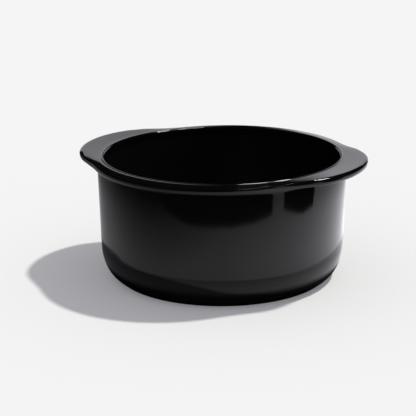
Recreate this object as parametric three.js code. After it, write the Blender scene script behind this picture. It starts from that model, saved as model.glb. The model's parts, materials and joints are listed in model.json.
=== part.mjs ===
// A round enamelled cast-iron Dutch oven pot with two wide ears on its rim.
// Millimetres, +Z up. X runs from ear to ear, and the origin is under the middle
// of the pot, on the surface that it stands on.

import * as THREE from 'three';

// The bowl of the pot. Its wall turns into the base on a quarter of an ellipse.
const potHeight = 124;
const wallTopRadius = 125;
const cornerRadius = 123;
const cornerWidth = 20;
const cornerHeight = 33;
const cornerTopAngle = -4;
const wellRadius = 118;
const wellFloorHeight = 7.2;
const wellCornerRadius = 18;

// The foot ring that it stands on, and the shallow recess inside the ring
const footOuterRadius = 108;
const footInnerRadius = 99;
const recessHeight = 1.6;

// The flange round the rim, seen in section
const flangeThickness = 7.4;
const flangeRootRadius = 2;
const noseWidth = 3.6;
const noseHeight = 4.4;
const shoulderWidth = 4.2;
const shoulderHeight = flangeThickness - noseHeight;
const lipRadius = 3;
const flatRimRadius = 124;
const fixedRadius = 128;

// The flange's outline, seen from above
const rimHalfLength = 127.5;
const rimHalfWidth = 133.8;
const earReach = 148;
const earArcRadius = 108;
const earSideDistance = 129;
const earSideAngle = THREE.MathUtils.degToRad(50);
const earCornerBlend = 3;
const earRootBlend = 2.5;
const earLift = 2;
const earSpreadCosine = 0.64;

// The enamel: its thickness, the clearance under it, and where its coats meet
const coat = 0.4;
const clearance = 0.3;
const ironInset = coat + clearance;
const outerCoatFoot = 0.5;
const outerSeamBelowRoot = 2;
const outerCoatTop = potHeight - flangeThickness - flangeRootRadius - outerSeamBelowRoot;
const wellSeamBelowRim = 9;
const wellCoatTop = potHeight - wellSeamBelowRim;

// How finely the pot is turned and its rounded edges are stepped
const turnSteps = 72;
const arcSteps = { corner: 6, root: 2, nose: 3, shoulder: 4, lip: 3, wellCorner: 5 };
const referenceRim = rimHalfWidth;

const enamelLook = { color: 0x0b0b0c, roughness: 0.08, metalness: 0 };
const wellLook = { color: 0x0c0c0c, roughness: 0.16, metalness: 0 };
const ironLook = { color: 0x35322f, roughness: 0.62, metalness: 0.7 };

function smoothMax(a, b, blend) {
  return (a + b + Math.hypot(a - b, blend)) / 2;
}

function smoothMin(a, b, blend) {
  return (a + b - Math.hypot(a - b, blend)) / 2;
}

// How far the flange reaches from the axis in one direction. An oval rim carries
// two ears, each a wide arc closed by two straight sides.
function flangeReach(turn) {
  const along = Math.abs(Math.cos(turn));
  const across = Math.abs(Math.sin(turn));
  const fromEar = Math.atan2(across, along);
  const rim = rimHalfLength + (rimHalfWidth - rimHalfLength) * across ** 2;
  const arcCentre = earReach - earArcRadius;
  const arc = arcCentre * along + Math.sqrt(earArcRadius ** 2 - (arcCentre * across) ** 2);
  const side = earSideDistance / Math.cos(fromEar - earSideAngle);
  const ear = fromEar < earSideAngle ? smoothMin(arc, side, earCornerBlend) : earSideDistance;
  return smoothMax(rim, ear, earRootBlend);
}

// The ears rise a little towards their tips. The rim between them is level.
function liftAt(radius, turn) {
  const outward = (radius - flatRimRadius) / (earReach - flatRimRadius);
  const share = THREE.MathUtils.clamp(outward, 0, 1);
  const earShare = THREE.MathUtils.smoothstep(Math.abs(Math.cos(turn)), earSpreadCosine, 1);
  return earLift * share * earShare;
}

// Points on an arc in the section plane, from one angle to another in degrees
function arcPoints(centreR, centreZ, radiusR, radiusZ, from, to, steps) {
  const points = [];
  for (let i = 0; i <= steps; i += 1) {
    const angle = THREE.MathUtils.degToRad(from + ((to - from) * i) / steps);
    const r = centreR + radiusR * Math.cos(angle);
    const z = centreZ + radiusZ * Math.sin(angle);
    points.push(new THREE.Vector2(r, z));
  }
  return points;
}

// The wall is a cone from the rounded lower corner up to the flange.
function wallRadiusAt(height) {
  const angle = THREE.MathUtils.degToRad(cornerTopAngle);
  const lowRadius = cornerRadius - cornerWidth * (1 - Math.cos(angle));
  const lowHeight = cornerHeight * (1 + Math.sin(angle));
  const share = (height - lowHeight) / (potHeight - flangeThickness - lowHeight);
  return lowRadius + (wallTopRadius - lowRadius) * share;
}

// Each section below follows the pot's finished surface, or a surface parallel to
// it and inset below it.

function outerSection(inset, foot, top) {
  const centreR = cornerRadius - cornerWidth;
  const width = cornerWidth - inset;
  const height = cornerHeight - inset;
  const footRadius = footOuterRadius - inset;
  const start = -THREE.MathUtils.radToDeg(Math.acos((footRadius - centreR) / width));
  return [
    new THREE.Vector2(footRadius, foot),
    ...arcPoints(centreR, cornerHeight, width, height, start, cornerTopAngle, arcSteps.corner),
    new THREE.Vector2(wallRadiusAt(top) - inset, top),
  ];
}

function rimSection(inset, outerStart, wellEnd) {
  const underside = potHeight - flangeThickness + inset;
  const reach = referenceRim - inset;
  const root = flangeRootRadius + inset;
  const rootCentreR = wallTopRadius + flangeRootRadius;
  const rootCentreZ = potHeight - flangeThickness - flangeRootRadius;
  const noseR = noseWidth - inset;
  const noseZ = noseHeight - inset;
  const lip = lipRadius - inset;
  return [
    new THREE.Vector2(wallRadiusAt(outerStart) - inset, outerStart),
    ...arcPoints(rootCentreR, rootCentreZ, root, root, 180, 90, arcSteps.root),
    ...arcPoints(reach - noseR, underside + noseZ, noseR, noseZ, -90, 0, arcSteps.nose),
    ...arcPoints(
      reach - shoulderWidth + inset,
      potHeight - shoulderHeight,
      shoulderWidth - inset,
      shoulderHeight - inset,
      0,
      90,
      arcSteps.shoulder,
    ),
    new THREE.Vector2(flatRimRadius, potHeight - inset),
    ...arcPoints(wellRadius + lipRadius, potHeight - lipRadius, lip, lip, 90, 180, arcSteps.lip),
    new THREE.Vector2(wellRadius + inset, wellEnd),
  ];
}

function wellSection(inset, top) {
  const radius = wellCornerRadius + inset;
  const centreR = wellRadius - wellCornerRadius;
  const centreZ = wellFloorHeight + wellCornerRadius;
  return [
    new THREE.Vector2(wellRadius + inset, top),
    ...arcPoints(centreR, centreZ, radius, radius, 0, -90, arcSteps.wellCorner),
    new THREE.Vector2(0, wellFloorHeight - inset),
  ];
}

// Turns a section about the axis, then gives the flange its outline and the ears
// their rise.
function turned(section) {
  const geometry = new THREE.LatheGeometry(section, turnSteps);
  geometry.rotateX(Math.PI / 2);
  const position = geometry.getAttribute('position');
  for (let i = 0; i < position.count; i += 1) {
    const x = position.getX(i);
    const y = position.getY(i);
    const radius = Math.hypot(x, y);
    if (radius > fixedRadius) {
      const turn = Math.atan2(y, x);
      const moved = radius + flangeReach(turn) - referenceRim;
      position.setX(i, moved * Math.cos(turn));
      position.setY(i, moved * Math.sin(turn));
      position.setZ(i, position.getZ(i) + liftAt(moved, turn));
    }
  }
  geometry.computeVertexNormals();
  return geometry;
}

// A coat is its outer section closed by the section one coat thickness below it.
function coatSection(section) {
  const face = section(0);
  const back = section(coat).reverse();
  return [...face, ...back, face[0].clone()];
}

function piece(name, section, look) {
  const mesh = new THREE.Mesh(turned(section), new THREE.MeshStandardMaterial(look));
  mesh.name = name;
  return mesh;
}

function ironCasting() {
  const recess = recessHeight + ironInset;
  const section = [
    new THREE.Vector2(0, recess),
    new THREE.Vector2(footInnerRadius, recess),
    new THREE.Vector2(footInnerRadius, 0),
    ...outerSection(ironInset, 0, outerCoatTop).slice(0, -1),
    ...rimSection(ironInset, outerCoatTop, wellCoatTop).slice(0, -1),
    ...wellSection(ironInset, wellCoatTop).slice(1),
  ];
  return piece('iron_casting', section, ironLook);
}

function outerEnamel() {
  const top = outerCoatTop - clearance / 2;
  const section = coatSection((inset) => outerSection(inset, outerCoatFoot, top));
  return piece('outer_enamel', section, enamelLook);
}

function rimEnamel() {
  const outerStart = outerCoatTop + clearance / 2;
  const wellEnd = wellCoatTop + clearance / 2;
  const section = coatSection((inset) => rimSection(inset, outerStart, wellEnd));
  return piece('rim_enamel', section, enamelLook);
}

function wellEnamel() {
  const top = wellCoatTop - clearance / 2;
  const section = [...wellSection(coat, top).reverse(), ...wellSection(0, top)];
  return piece('well_enamel', section, wellLook);
}

function baseEnamel() {
  const radius = footInnerRadius - clearance;
  const section = [
    new THREE.Vector2(0, recessHeight),
    new THREE.Vector2(radius, recessHeight),
    new THREE.Vector2(radius, recessHeight + coat),
    new THREE.Vector2(0, recessHeight + coat),
  ];
  return piece('base_enamel', section, enamelLook);
}

const pot = new THREE.Group();
pot.name = 'dutch_oven_pot';
pot.add(ironCasting());
pot.add(outerEnamel());
pot.add(rimEnamel());
pot.add(wellEnamel());
pot.add(baseEnamel());

export default pot;
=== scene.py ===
import json
import math

import bmesh
import bpy
from mathutils import Matrix, Quaternion, Vector


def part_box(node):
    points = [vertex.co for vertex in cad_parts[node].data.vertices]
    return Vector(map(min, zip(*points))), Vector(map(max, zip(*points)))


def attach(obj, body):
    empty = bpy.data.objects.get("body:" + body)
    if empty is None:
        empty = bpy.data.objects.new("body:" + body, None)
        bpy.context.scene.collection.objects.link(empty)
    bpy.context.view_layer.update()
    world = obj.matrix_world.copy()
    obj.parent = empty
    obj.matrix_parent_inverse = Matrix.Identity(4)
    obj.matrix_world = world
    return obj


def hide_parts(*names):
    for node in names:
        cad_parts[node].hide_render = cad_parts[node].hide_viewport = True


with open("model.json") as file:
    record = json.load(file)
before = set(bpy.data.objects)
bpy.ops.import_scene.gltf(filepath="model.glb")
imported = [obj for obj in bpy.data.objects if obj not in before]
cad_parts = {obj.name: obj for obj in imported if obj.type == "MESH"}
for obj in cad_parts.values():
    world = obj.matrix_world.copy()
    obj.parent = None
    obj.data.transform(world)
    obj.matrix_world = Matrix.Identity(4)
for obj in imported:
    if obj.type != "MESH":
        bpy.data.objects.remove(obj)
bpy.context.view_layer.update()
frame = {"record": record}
mm = 0.001

# An enamelled cast-iron pot. X runs from ear to ear and the pot stands on Z = 0.
# Outlines are drawn in millimetres in the X-Z plane, spun about Z, and scaled to metres at the end.


def boxOf(node):
    low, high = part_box(node)
    return low / mm, high / mm


outerLow, outerHigh = boxOf("outer_enamel")
rimLow = boxOf("rim_enamel")[0]
wellLow, wellHigh = boxOf("well_enamel")
baseLow, baseHigh = boxOf("base_enamel")
rimFace = next(m for m in frame["record"]["mounts"] if m["name"] == "rim_face")

# what the frame gives, in mm
fit = {
    "potHeight": rimFace["pos_m"][2] / mm,
    "coat": baseHigh.z - baseLow.z,
    "gap": rimLow.z - outerHigh.z,
    "outerSeam": (rimLow.z + outerHigh.z) / 2,   # where the outer coat meets the rim's
    "outerFoot": outerLow.z,
    "recess": baseLow.z,
}
fit["wellRadius"] = wellHigh.x - fit["coat"]
fit["wellFloor"] = wellLow.z + fit["coat"]
fit["wellSeam"] = wellHigh.z + fit["gap"] / 2
fit["footInner"] = baseHigh.x + fit["gap"]


turnSteps = 256   # how finely every piece is spun


def drawLine(bm, pen, r, z):
    # the pen is the last vertex of the outline so far, and each draw function gives back the new one
    grown = bmesh.ops.extrude_vert_indiv(bm, verts=[pen])["verts"][0]
    grown.co = (r, 0, z)
    return grown


def drawArc(bm, pen, centre, degrees, steps, tall=1.0):
    # tall is the arc's height over its width, so anything but 1 is part of an ellipse
    middle = Vector((centre[0], 0, centre[1]))
    squash = Matrix.Translation(middle) @ Matrix.Diagonal((1, 1, 1 / tall, 1)) @ Matrix.Translation(-middle)
    known = set(bm.verts) - {pen}
    bmesh.ops.transform(bm, matrix=squash, verts=[pen])
    spun = bmesh.ops.spin(
        bm, geom=[pen], cent=middle, axis=(0, -1, 0), angle=math.radians(degrees), steps=steps
    )
    last = next(g for g in spun["geom_last"] if isinstance(g, bmesh.types.BMVert))
    arc = [v for v in bm.verts if v not in known]
    bmesh.ops.transform(bm, matrix=squash.inverted(), verts=arc)
    return last


def smoothMax(a, b, blend):
    return (a + b + math.hypot(a - b, blend)) / 2


def smoothMin(a, b, blend):
    return (a + b - math.hypot(a - b, blend)) / 2


def smoothStep(value, low, high):
    share = min(max((value - low) / (high - low), 0), 1)
    return share * share * (3 - 2 * share)


# the flange and its ears, in mm and degrees
flange = {
    "thickness": 7.4,
    "root": 2.0,
    "noseWidth": 1.6,      # the outer face, which leans in towards the underside
    "noseHeight": 4.2,
    "sideNose": 1.24,      # how much taller it is between the ears
    "shoulderWidth": 3.8,  # the rounded edge along the top
    "facet": 0.05,         # the short upright between the two
    "sharpSide": 0.05,     # how much of the shoulder is left between the ears
    "slopeStart": 124.0,   # and the slope that leads down to it there
    "slopeDrop": 1.3,
    "bead": 1.6,           # the low bead along the inner edge, and where it meets the flat rim
    "beadTurn": 48.0,
    "beadBand": 0.3,       # a narrow ring at its foot, which keeps its shading crisp
    "lip": 2.2,
    "halfWidth": 133.8,
    "halfLength": 127.5,
    "earReach": 148.0,
    "earArc": 108.0,
    "earSide": 129.0,
    "earSideAngle": 50.0,
    "earCornerBlend": 3.0,
    "earRootBlend": 2.5,
    "earLift": 2.0,
    "earSpread": 0.64,     # cosine of the angle where an ear starts to rise
    "slopeSpread": (0.70, 0.96),   # and of where the slope gives way to the flat of an ear
    "sharpSpread": (0.86, 0.92),   # and the sharp edge to the rounded one
    "topFixed": 124.0,     # the rim inside this radius stays round
    "underFixed": 127.2,
    "rings": 6,            # rings of faces across the top and the underside
    "rootSteps": 6,
    "noseSteps": 12,
    "shoulderSteps": 8,
    "beadSteps": 8,
    "lipSteps": 14,
    "lipRings": 3,
}
flange["underside"] = fit["potHeight"] - flange["thickness"]
flange["edge"] = max(flange["noseWidth"], flange["shoulderWidth"])

# the outer wall, its rounded lower corner and the foot, in mm and degrees
wall = {
    "top": 125.0,          # its radius under the flange
    "corner": 123.0,       # and at the lower corner
    "cornerWidth": 20.0,
    "cornerHeight": 33.0,
    "cornerEnd": -4.0,     # where the corner turns into the wall
    "cornerSteps": 20,
    "foot": 108.0,
    "band": 1.0,           # a narrow ring beside the corner, which keeps its shading
    "rings": 8,
}


def flangeReach(turn):
    # the flange's outline from above: an oval rim with two ears, each a wide arc with straight sides
    along = abs(math.cos(turn))
    across = abs(math.sin(turn))
    fromEar = math.atan2(across, along)
    sideTurn = math.radians(flange["earSideAngle"])
    rim = flange["halfLength"] + (flange["halfWidth"] - flange["halfLength"]) * across ** 2
    centre = flange["earReach"] - flange["earArc"]
    arc = centre * along + math.sqrt(flange["earArc"] ** 2 - (centre * across) ** 2)
    side = flange["earSide"] / math.cos(fromEar - sideTurn)
    ear = smoothMin(arc, side, flange["earCornerBlend"]) if fromEar < sideTurn else flange["earSide"]
    return smoothMax(rim, ear, flange["earRootBlend"])


def wallRadius(z):
    # a cone from the end of the corner up to the flange
    turn = math.radians(wall["cornerEnd"])
    lowRadius = wall["corner"] - wall["cornerWidth"] * (1 - math.cos(turn))
    lowHeight = wall["cornerHeight"] * (1 + math.sin(turn))
    share = (z - lowHeight) / (flange["underside"] - lowHeight)
    return lowRadius + (wall["top"] - lowRadius) * share


def drawOuter(bm, pen, inset):
    # up the foot, round the lower corner and up the wall to the seam under the flange
    width = wall["cornerWidth"] - inset
    height = wall["cornerHeight"] - inset
    foot = wall["foot"] - inset
    centre = (wall["corner"] - wall["cornerWidth"], wall["cornerHeight"])
    start = math.degrees(math.acos((foot - centre[0]) / width))
    pen = drawLine(bm, pen, foot, centre[1] - height * math.sin(math.radians(start)))
    pen = drawArc(bm, pen, centre, start + wall["cornerEnd"], wall["cornerSteps"], height / width)
    low = pen.co.z + wall["band"]
    for step in range(wall["rings"] + 1):
        z = low + (fit["outerSeam"] - low) * step / wall["rings"]
        pen = drawLine(bm, pen, wallRadius(z) - inset, z)
    return pen


def rimLevel(inset):
    # the height of the flat of the rim, at the foot of the bead
    rise = (flange["bead"] - inset) * math.sin(math.radians(flange["beadTurn"]))
    return fit["potHeight"] - flange["bead"] + rise


def drawRim(bm, pen, inset):
    # round the root, out along the underside, round the edge, over the flat and the bead, and into the well
    top = fit["potHeight"]
    root = flange["root"] + inset
    rootCentre = (wall["top"] + flange["root"], flange["underside"] - flange["root"])
    pen = drawLine(bm, pen, rootCentre[0] - root, rootCentre[1])
    pen = drawArc(bm, pen, rootCentre, -90, flange["rootSteps"])
    reach = flange["halfWidth"]
    noseStart = reach - flange["noseWidth"]
    for step in range(1, flange["rings"] + 1):
        r = rootCentre[0] + (noseStart - rootCentre[0]) * step / flange["rings"]
        pen = drawLine(bm, pen, r, flange["underside"] + inset)
    width = flange["noseWidth"] - inset
    height = flange["noseHeight"] - inset
    noseCentre = (noseStart, flange["underside"] + flange["noseHeight"])
    pen = drawArc(bm, pen, noseCentre, 90, flange["noseSteps"], height / width)
    rimTop = rimLevel(inset)
    shoulderStart = reach - flange["shoulderWidth"]
    shoulderLow = pen.co.z + flange["facet"]
    width = flange["shoulderWidth"] - inset
    height = rimTop - shoulderLow
    pen = drawLine(bm, pen, reach - inset, shoulderLow)
    pen = drawArc(bm, pen, (shoulderStart, shoulderLow), 90, flange["shoulderSteps"], height / width)
    for step in range(1, flange["rings"] + 1):
        r = shoulderStart + (flange["topFixed"] - shoulderStart) * step / flange["rings"]
        pen = drawLine(bm, pen, r, rimTop)
    crown = fit["wellRadius"] + flange["lip"]
    beadEnd = crown + (flange["bead"] - inset) * math.cos(math.radians(flange["beadTurn"]))
    pen = drawLine(bm, pen, beadEnd + flange["beadBand"], rimTop)
    pen = drawLine(bm, pen, beadEnd, rimTop)
    pen = drawArc(bm, pen, (crown, top - flange["bead"]), 90 - flange["beadTurn"], flange["beadSteps"])
    pen = drawArc(bm, pen, (crown, top - flange["lip"]), 90, flange["lipSteps"])
    drawn = pen.co.z
    for step in range(1, flange["lipRings"] + 1):
        z = drawn + (fit["wellSeam"] - drawn) * step / flange["lipRings"]
        pen = drawLine(bm, pen, fit["wellRadius"] + inset, z)
    return pen


# the inside of the pot, in mm
well = {
    "corner": 18.0,
    "cornerSteps": 16,
    "band": 1.0,
    "rings": 8,
    "floorRings": (0.98, 0.5, 0),   # shares of the flat floor's radius, which ends at the middle
}


def drawWell(bm, pen, inset):
    # down the wall, round the corner and in across the floor to the middle
    low = fit["wellFloor"] + well["corner"]
    flat = fit["wellRadius"] - well["corner"]
    for step in range(well["rings"] + 1):
        z = fit["wellSeam"] + (low + well["band"] - fit["wellSeam"]) * step / well["rings"]
        pen = drawLine(bm, pen, fit["wellRadius"] + inset, z)
    pen = drawLine(bm, pen, fit["wellRadius"] + inset, low)
    pen = drawArc(bm, pen, (flat, low), -90, well["cornerSteps"])
    for share in well["floorRings"]:
        pen = drawLine(bm, pen, flat * share, fit["wellFloor"] - inset)
    return pen


def shapeFlange(bm, inset):
    # gives the spun flange its outline, its sharper and sloping edge between the ears, and the ears' rise
    middle = flange["underside"] + flange["noseHeight"] + flange["facet"] / 2
    rimTop = rimLevel(inset)
    shoulderStart = flange["halfWidth"] - flange["shoulderWidth"]
    noseStart = flange["halfWidth"] - flange["noseWidth"]
    for vert in bm.verts:
        radius = math.hypot(vert.co.x, vert.co.y)
        turn = math.atan2(vert.co.y, vert.co.x)
        above = vert.co.z > middle
        earShare = smoothStep(abs(math.cos(turn)), flange["earSpread"], 1)
        plain = 1 - smoothStep(abs(math.cos(turn)), *flange["slopeSpread"])   # 1 between the ears
        if above and radius > shoulderStart:   # the rounded edge
            rounded = (1 - plain) * smoothStep(abs(math.cos(turn)), *flange["sharpSpread"])
            kept = flange["sharpSide"] + (1 - flange["sharpSide"]) * rounded
            radius = flange["halfWidth"] - (flange["halfWidth"] - radius) * kept
            vert.co.z = rimTop - (rimTop - vert.co.z) * kept
        if above and radius > flange["slopeStart"]:   # the slope
            slope = (radius - flange["slopeStart"]) / (flange["halfWidth"] - flange["slopeStart"])
            vert.co.z -= flange["slopeDrop"] * slope * plain
        if not above and radius > noseStart:   # the outer face under it
            taller = 1 + (flange["sideNose"] - 1) * plain
            vert.co.z = flange["underside"] + (vert.co.z - flange["underside"]) * taller
        # the outline
        fixed = flange["topFixed"] if above else flange["underFixed"]
        if radius > fixed:
            grow = flangeReach(turn) - flange["halfWidth"]
            radius += grow * min((radius - fixed) / (flange["halfWidth"] - flange["edge"] - fixed), 1)
            vert.co.x = radius * math.cos(turn)
            vert.co.y = radius * math.sin(turn)
        # the ears' rise
        outward = (radius - flange["topFixed"]) / (flange["earReach"] - flange["topFixed"])
        vert.co.z += flange["earLift"] * earShare * min(max(outward, 0), 1)


def spinPiece(bm):
    bmesh.ops.spin(
        bm, geom=bm.verts[:] + bm.edges[:], cent=(0, 0, 0), axis=(0, 0, 1),
        angle=math.tau, steps=turnSteps, use_merge=True,
    )
    bmesh.ops.remove_doubles(bm, verts=bm.verts[:], dist=0.001)
    bmesh.ops.recalc_face_normals(bm, faces=bm.faces[:])


def turnOut(bm, probe):
    # an open sheet has no inside, so its faces are turned to look the way that the probe says
    face = min(bm.faces, key=lambda f: (f.calc_center_median() - probe[0]).length)
    if face.normal.dot(probe[1]) < 0:
        bmesh.ops.reverse_faces(bm, faces=bm.faces[:])


creaseAngle = math.radians(50)


def finishPiece(bm, name, node, material, thickness=0.0):
    bmesh.ops.scale(bm, vec=(mm, mm, mm), verts=bm.verts[:])
    for face in bm.faces:
        face.smooth = True
    for edge in bm.edges:
        edge.smooth = not edge.is_boundary and edge.calc_face_angle(0) < creaseAngle
    mesh = bpy.data.meshes.new(name)
    bm.to_mesh(mesh)
    bm.free()
    piece = bpy.data.objects.new(name, mesh)
    bpy.context.scene.collection.objects.link(piece)
    piece.data.materials.append(material)
    if thickness:
        coat = piece.modifiers.new("coat", "SOLIDIFY")
        coat.thickness = thickness * mm
        coat.offset = -1
        coat.use_even_offset = True
    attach(piece, "root")
    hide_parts(node)
    print(name, "has", len(mesh.polygons), "faces")


def linearColour(hexText):
    channels = [int(hexText[i:i + 2], 16) / 255 for i in (1, 3, 5)]
    return [c / 12.92 if c <= 0.04045 else ((c + 0.055) / 1.055) ** 2.4 for c in channels] + [1]


def addNode(tree, kind, settings=None, links=None):
    node = tree.nodes.new("ShaderNode" + kind)
    for name, value in (settings or {}).items():
        if isinstance(name, int) or name in node.inputs:
            node.inputs[name].default_value = value
        else:
            setattr(node, name, value)
    for name, source in (links or {}).items():
        tree.links.new(source, node.inputs[name])
    return node


def newMaterial(name):
    material = bpy.data.materials.new(name)
    material.use_nodes = True
    material.node_tree.nodes.clear()
    return material, material.node_tree


def vitreousEnamel(name, look):
    # black glass fused to the iron: a deep, wet gloss with a very slight orange peel
    material, tree = newMaterial(name)
    place = addNode(tree, "TexCoord").outputs["Object"]
    peel = addNode(
        tree, "TexNoise", {"Scale": 1 / (look["peelSize"] * mm), "Detail": 1.5}, {"Vector": place}
    )
    cloud = addNode(
        tree, "TexNoise", {"Scale": 1 / (look["cloudSize"] * mm), "Detail": 3.0}, {"Vector": place}
    )
    tone = addNode(
        tree, "Mix",
        {"data_type": "RGBA", 6: linearColour(look["colour"]), 7: linearColour(look["thinColour"])},
        {0: cloud.outputs["Fac"]},
    )
    rough = addNode(
        tree, "MapRange", {"To Min": look["roughness"][0], "To Max": look["roughness"][1]},
        {"Value": cloud.outputs["Fac"]},
    )
    bump = addNode(
        tree, "Bump", {"Strength": 1.0, "Distance": look["peelHeight"] * mm},
        {"Height": peel.outputs["Fac"]},
    )
    surface = addNode(
        tree, "BsdfPrincipled", {"IOR": look["ior"]},
        {
            "Base Color": tone.outputs[2],
            "Roughness": rough.outputs["Result"],
            "Normal": bump.outputs["Normal"],
        },
    )
    addNode(tree, "OutputMaterial", None, {"Surface": surface.outputs["BSDF"]})
    return material


def castIron(name, look):
    # grey iron, ground flat on the foot: a dull grain with fine rings left by the wheel
    material, tree = newMaterial(name)
    place = addNode(tree, "TexCoord").outputs["Object"]
    grain = addNode(
        tree, "TexNoise", {"Scale": 1 / (look["grainSize"] * mm), "Detail": 6.0}, {"Vector": place}
    )
    ringScale = math.pi / 10 / (look["ringPitch"] * mm)   # at a scale of 1 the rings are pi / 10 apart
    rings = addNode(
        tree, "TexWave",
        {"wave_type": "RINGS", "rings_direction": "Z", "Scale": ringScale, "Distortion": 0.6},
        {"Vector": place},
    )
    tone = addNode(
        tree, "Mix",
        {"data_type": "RGBA", 6: linearColour(look["colour"]), 7: linearColour(look["lightColour"])},
        {0: grain.outputs["Fac"]},
    )
    height = addNode(tree, "Math", {"operation": "ADD"}, {0: grain.outputs["Fac"], 1: rings.outputs["Fac"]})
    bump = addNode(
        tree, "Bump", {"Strength": 0.8, "Distance": look["grainHeight"] * mm},
        {"Height": height.outputs["Value"]},
    )
    rough = addNode(
        tree, "MapRange", {"To Min": look["roughness"][0], "To Max": look["roughness"][1]},
        {"Value": grain.outputs["Fac"]},
    )
    surface = addNode(
        tree, "BsdfPrincipled", {"Metallic": 1.0},
        {
            "Base Color": tone.outputs[2],
            "Roughness": rough.outputs["Result"],
            "Normal": bump.outputs["Normal"],
        },
    )
    addNode(tree, "OutputMaterial", None, {"Surface": surface.outputs["BSDF"]})
    return material


glossLook = {
    "colour": "#060607",
    "thinColour": "#0a0908",
    "roughness": (0.06, 0.10),
    "ior": 1.5,
    "peelSize": 7.0,       # mm
    "peelHeight": 0.012,
    "cloudSize": 45.0,
}
# the inside coat is less glossy, so it shows only soft, broad reflections
satinLook = dict(glossLook, roughness=(0.28, 0.36), colour="#080808", thinColour="#0b0b0b")
ironLook = {
    "colour": "#3b3835",
    "lightColour": "#5a5652",
    "roughness": (0.45, 0.65),
    "grainSize": 0.9,      # mm
    "ringPitch": 1.2,
    "grainHeight": 0.03,
}
glossEnamel = vitreousEnamel("glossBlackEnamel", glossLook)
satinEnamel = vitreousEnamel("satinBlackEnamel", satinLook)
groundIron = castIron("groundCastIron", ironLook)
print("materials made")


def startOutline(r, z):
    bm = bmesh.new()
    return bm, bm.verts.new((r, 0, z))


up = Vector((0, 0, 1))

bm, pen = startOutline(wall["foot"], fit["outerFoot"])
drawOuter(bm, pen, 0)
spinPiece(bm)
turnOut(bm, (Vector((wall["top"], 0, fit["potHeight"] / 2)), Vector((1, 0, 0))))
finishPiece(bm, "outerEnamel", "outer_enamel", glossEnamel, fit["coat"])

bm, pen = startOutline(wallRadius(fit["outerSeam"]), fit["outerSeam"])
drawRim(bm, pen, 0)
spinPiece(bm)
turnOut(bm, (Vector((flange["topFixed"], 0, fit["potHeight"])), up))
shapeFlange(bm, 0)
finishPiece(bm, "rimEnamel", "rim_enamel", glossEnamel, fit["coat"])

bm, pen = startOutline(fit["wellRadius"], fit["wellSeam"])
drawWell(bm, pen, 0)
spinPiece(bm)
turnOut(bm, (Vector((fit["wellRadius"] / 4, 0, fit["wellFloor"])), up))
finishPiece(bm, "wellEnamel", "well_enamel", satinEnamel, fit["coat"])

bm, pen = startOutline(0, fit["recess"])
drawLine(bm, pen, fit["footInner"], fit["recess"])
spinPiece(bm)
turnOut(bm, (Vector((fit["footInner"] / 2, 0, fit["recess"])), -up))
finishPiece(bm, "baseEnamel", "base_enamel", glossEnamel, fit["coat"])

casting = {
    "under": 0.02,         # mm from the back of each coat to the iron
}
ironInset = fit["coat"] + casting["under"]
bm, pen = startOutline(0, fit["recess"] + ironInset)
pen = drawLine(bm, pen, fit["footInner"] + ironInset, fit["recess"] + ironInset)
pen = drawLine(bm, pen, fit["footInner"] + ironInset, 0)
pen = drawLine(bm, pen, wall["foot"] - ironInset, 0)
pen = drawOuter(bm, pen, ironInset)
pen = drawRim(bm, pen, ironInset)
drawWell(bm, pen, ironInset)
spinPiece(bm)
shapeFlange(bm, ironInset)
finishPiece(bm, "ironCasting", "iron_casting", groundIron)
print("pieces made")


view = {
    "turn": 23.7,          # degrees, how far the near ear is turned towards the camera
    "distance": 1.269,     # m
    "height": 0.438,
    "aimLeft": 0.0142,
    "aimHeight": 0.0661,
    "roll": -0.43,
    "lens": 112.5,         # mm
}
# room axes are right, back and up as the camera sees
toRoom = Matrix.Rotation(math.radians(view["turn"]), 4, "Z")


def roomPoint(right, back, above):
    return toRoom @ Vector((right, back, above))


def addSheet(name, corners, material):
    bm = bmesh.new()
    bm.faces.new([bm.verts.new(roomPoint(*corner)) for corner in corners])
    mesh = bpy.data.meshes.new(name)
    bm.to_mesh(mesh)
    bm.free()
    sheet = bpy.data.objects.new(name, mesh)
    bpy.context.scene.collection.objects.link(sheet)
    sheet.data.materials.append(material)
    return sheet


def reflectionOnly(sheet):
    sheet.visible_camera = False
    sheet.visible_diffuse = False
    sheet.visible_shadow = False
    sheet.visible_transmission = False


def roomAxes(tree):
    # object coordinates turned so that X is right, Y is back and Z is up
    place = addNode(tree, "TexCoord").outputs["Object"]
    turned = addNode(tree, "Mapping", {"Rotation": (0, 0, -math.radians(view["turn"]))}, {"Vector": place})
    return turned.outputs["Vector"]


def setStops(node, stops, tint=(1, 1, 1)):
    # gives a colour ramp its (position, tone) stops, in order
    elements = node.color_ramp.elements
    elements.remove(elements[1])
    elements[0].position = stops[0][0]
    elements[0].color = [stops[0][1] * c for c in tint] + [1]
    for position, tone in stops[1:]:
        elements.new(position).color = [tone * c for c in tint] + [1]


def glowMaterial(name, strength):
    material, tree = newMaterial(name)
    surface = addNode(tree, "Emission", {"Strength": strength})
    addNode(tree, "OutputMaterial", None, {"Surface": surface.outputs["Emission"]})
    return material


coolTint = (1.0, 0.985, 1.05)
light = {
    "floorColour": (0.6, 0.6, 0.6, 1),
    "floorGlow": 0.15,
    "floorHalf": 8.0,      # m
    "fill": 0.5,           # how bright the room is where it lights the pot and the floor
    "backdrop": 0.915,     # and where the camera sees it
    "keyStrength": 2.69,
    "keyColour": (1.0, 1.013, 0.955),
    "keySize": 3.0,        # degrees across
    "keyFrom": (0.414, 0.127, 0.902),
}

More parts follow.
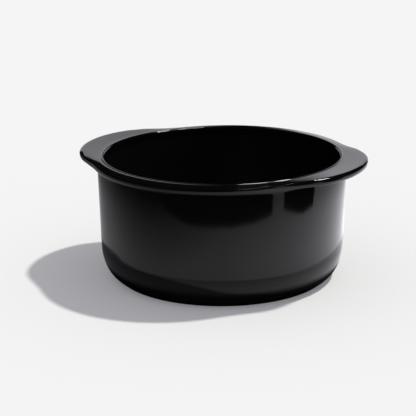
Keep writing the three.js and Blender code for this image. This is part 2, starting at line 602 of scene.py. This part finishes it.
# the floor: matte pale paint that glows a little, so that it reads as nearly white
material, tree = newMaterial("palePaint")
matte = addNode(tree, "BsdfDiffuse", {"Color": light["floorColour"]})
lifted = addNode(tree, "Emission", {"Color": coolTint + (1,), "Strength": light["floorGlow"]})
both = addNode(tree, "AddShader", None, {0: matte.outputs["BSDF"], 1: lifted.outputs["Emission"]})
addNode(tree, "OutputMaterial", None, {"Surface": both.outputs["Shader"]})
far = light["floorHalf"]
floor = addSheet("floor", [(-far, -far, 0), (far, -far, 0), (far, far, 0), (-far, far, 0)], material)
floor.visible_glossy = False

# The table that the enamel mirrors, seen only in reflections, with painted light and shade: brighter
# towards the right, a painted shadow near the foot and a painted shadow edge round the pot, and a painted
# falloff far in front.
table = {
    "outline": [
        (-0.45, -0.25), (-0.20, -0.312), (-0.08, -0.345), (0, -0.355), (0.10, -0.345), (0.19, -0.32),
        (0.243, -0.30), (0.36, -0.40), (0.47, -0.36), (0.298, -0.262), (0.318, -0.205), (0.335, -0.15),
        (0.375, -0.08), (0.75, 0), (0.75, 1.2), (-0.45, 1.2),
    ],
    "above": 0.0003,       # m over the floor
    "round": [             # degrees from the front towards the right, and half the brightness: painted light, brighter on the right
        (-180, 0.45), (-150, 0.30), (-130, 0.19), (-111, 0.18), (-89, 0.21), (-40, 0.21), (0, 0.25),
        (36, 0.38), (56, 0.50), (78, 0.65), (105, 0.80), (122, 0.85), (140, 0.80), (155, 0.60), (180, 0.45),
    ],
    "outward": [           # m from the axis, and brightness: painted shade under the foot and a painted shadow edge near 0.19 m
        (0.0, 0.0), (0.122, 0.02), (0.134, 0.75), (0.150, 0.75), (0.172, 0.58), (0.191, 0.58),
        (0.194, 1.0), (0.240, 1.0), (0.350, 0.75), (0.430, 0.40),
    ],
    "fadeAlong": (0.8, 0.6, 0),   # it also darkens towards the front left, a painted falloff of the light
    "fade": (-0.46, -0.20),
    "gain": 1.71,
}
material, tree = newMaterial("paintedShadeTable")
place = roomAxes(tree)
axes = addNode(tree, "SeparateXYZ", None, {"Vector": place})
forward = addNode(tree, "Math", {"operation": "MULTIPLY", 1: -1}, {0: axes.outputs["Y"]})
angle = addNode(
    tree, "Math", {"operation": "ARCTAN2"}, {0: axes.outputs["X"], 1: forward.outputs["Value"]}
)
turnShare = addNode(
    tree, "MapRange", {"From Min": -math.pi, "From Max": math.pi}, {"Value": angle.outputs["Value"]}
)
# painted light: the table's brightness round the pot, lighter on the right
paintedSideLight = addNode(tree, "ValToRGB", None, {"Fac": turnShare.outputs["Result"]})
setStops(paintedSideLight, [((degrees + 180) / 360, tone) for degrees, tone in table["round"]], coolTint)
reach = addNode(tree, "VectorMath", {"operation": "LENGTH"}, {0: place})
farthest = table["outward"][-1][0]
reachShare = addNode(tree, "MapRange", {"From Max": farthest}, {"Value": reach.outputs["Value"]})
# painted shade: dark under the foot, with a painted shadow edge further out
paintedFootShade = addNode(tree, "ValToRGB", None, {"Fac": reachShare.outputs["Result"]})
setStops(paintedFootShade, [(r / farthest, tone) for r, tone in table["outward"]])
along = addNode(tree, "VectorMath", {"operation": "DOT_PRODUCT", 1: table["fadeAlong"]}, {0: place})
paintedFalloff = addNode(
    tree, "MapRange", {"From Min": table["fade"][0], "From Max": table["fade"][1], "To Max": table["gain"]},
    {"Value": along.outputs["Value"]},
)
both = addNode(
    tree, "VectorMath", {"operation": "MULTIPLY"},
    {0: paintedSideLight.outputs["Color"], 1: paintedFootShade.outputs["Color"]},
)
tone = addNode(
    tree, "VectorMath", {"operation": "SCALE"},
    {0: both.outputs["Vector"], "Scale": paintedFalloff.outputs["Result"]},
)
matte = addNode(tree, "BsdfDiffuse", None, {"Color": tone.outputs["Vector"]})
addNode(tree, "OutputMaterial", None, {"Surface": matte.outputs["BSDF"]})
reflectionOnly(addSheet("paintedShadeTable", [(x, y, table["above"]) for x, y in table["outline"]], material))

# the backdrop that the rim and the ears mirror, in m, with a soft dark middle
backCard = {
    "distance": 1.2,
    "left": -0.6,
    "right": 0.7,
    "top": 0.66,
    "cut": -0.05,          # from here the top slants down to the left
    "leftTop": 0.37,
    "middle": 0.05,
    "squeeze": 1.7,        # how much narrower the dark is below the low height than above the high one
    "low": 0.50,
    "high": 0.56,
    "tones": [             # m to the right, and brightness
        (-0.35, 0.62), (-0.26, 0.60), (-0.138, 0.45), (-0.108, 0.30), (-0.069, 0.18), (-0.0215, 0.03),
        (0.0, 0.0), (0.09, 0.0), (0.112, 0.04), (0.173, 0.13), (0.207, 0.29), (0.233, 0.50), (0.264, 0.72),
        (0.35, 0.75),
    ],
}
material, tree = newMaterial("backGlow")
axes = addNode(tree, "SeparateXYZ", None, {"Vector": roomAxes(tree)})
squeeze = addNode(
    tree, "MapRange",
    {
        "From Min": backCard["low"],
        "From Max": backCard["high"],
        "To Min": backCard["squeeze"],
        "To Max": 1.0,
    },
    {"Value": axes.outputs["Z"]},
)
offset = addNode(tree, "Math", {"operation": "SUBTRACT", 1: backCard["middle"]}, {0: axes.outputs["X"]})
across = addNode(
    tree, "Math", {"operation": "MULTIPLY_ADD", 2: backCard["middle"]},
    {0: offset.outputs["Value"], 1: squeeze.outputs["Result"]},
)
first = backCard["tones"][0][0]
span = backCard["tones"][-1][0] - first
share = addNode(
    tree, "MapRange", {"From Min": first, "From Max": first + span}, {"Value": across.outputs["Value"]}
)
backTone = addNode(tree, "ValToRGB", None, {"Fac": share.outputs["Result"]})
setStops(backTone, [((x - first) / span, tone) for x, tone in backCard["tones"]], coolTint)
surface = addNode(tree, "Emission", None, {"Color": backTone.outputs["Color"]})
addNode(tree, "OutputMaterial", None, {"Surface": surface.outputs["Emission"]})
back = backCard["distance"]
corners = [
    (backCard["left"], back, 0), (backCard["right"], back, 0),
    (backCard["right"], back, backCard["top"]), (backCard["cut"], back, backCard["top"]),
    (backCard["left"], back, backCard["leftTop"]),
]
reflectionOnly(addSheet("backCard", corners, material))

# two strip lamps overhead, each from one direction to another, give the rim its long highlights
strips = {
    "nearStrip": {"from": (0.150, -0.030, 0.988), "to": (0.338, 0.064, 0.939), "wide": 0.08, "glow": 115.0},
    "farStrip": {"from": (0.395, 0.110, 0.912), "to": (0.475, 0.195, 0.858), "wide": 0.08, "glow": 200.0},
}
stripDistance = 1.5
for name, strip in strips.items():
    start = Vector(strip["from"]) * stripDistance
    end = Vector(strip["to"]) * stripDistance
    side = (end - start).cross(start).normalized() * strip["wide"] / 2
    corners = [start - side, end - side, end + side, start + side]
    reflectionOnly(addSheet(name, corners, glowMaterial(name + "Glow", strip["glow"])))

sunData = bpy.data.lights.new("keyLight", "SUN")
sunData.energy = light["keyStrength"]
sunData.color = light["keyColour"]
sunData.angle = math.radians(light["keySize"])
key = bpy.data.objects.new("keyLight", sunData)
key.rotation_mode = "QUATERNION"
key.rotation_quaternion = (-roomPoint(*light["keyFrom"])).to_track_quat("-Z", "Y")
key.visible_glossy = False
bpy.context.scene.collection.objects.link(key)

world = bpy.data.worlds.new("studio")
bpy.context.scene.world = world
world.use_nodes = True
tree = world.node_tree
tree.nodes.clear()
seen = addNode(tree, "LightPath").outputs["Is Camera Ray"]
fill = [light["fill"] * c for c in coolTint] + [1]
backdrop = [light["backdrop"]] * 3 + [1]
glow = addNode(tree, "Mix", {"data_type": "RGBA", 6: fill, 7: backdrop}, {0: seen})
sky = addNode(tree, "Background", None, {"Color": glow.outputs[2]})
addNode(tree, "OutputWorld", None, {"Surface": sky.outputs["Background"]})
world.cycles_visibility.glossy = False

cameraData = bpy.data.cameras.new("camera")
cameraData.lens = view["lens"]
cameraData.dof.use_dof = False
camera = bpy.data.objects.new("camera", cameraData)
camera.location = roomPoint(0, -view["distance"], view["height"])
aim = roomPoint(-view["aimLeft"], 0, view["aimHeight"]) - camera.location
camera.rotation_mode = "QUATERNION"
roll = Quaternion((0, 0, 1), math.radians(view["roll"]))
camera.rotation_quaternion = aim.to_track_quat("-Z", "Y") @ roll
bpy.context.scene.collection.objects.link(camera)
bpy.context.scene.camera = camera
bpy.context.scene.view_settings.view_transform = "Standard"
print("stage, lights and camera made")
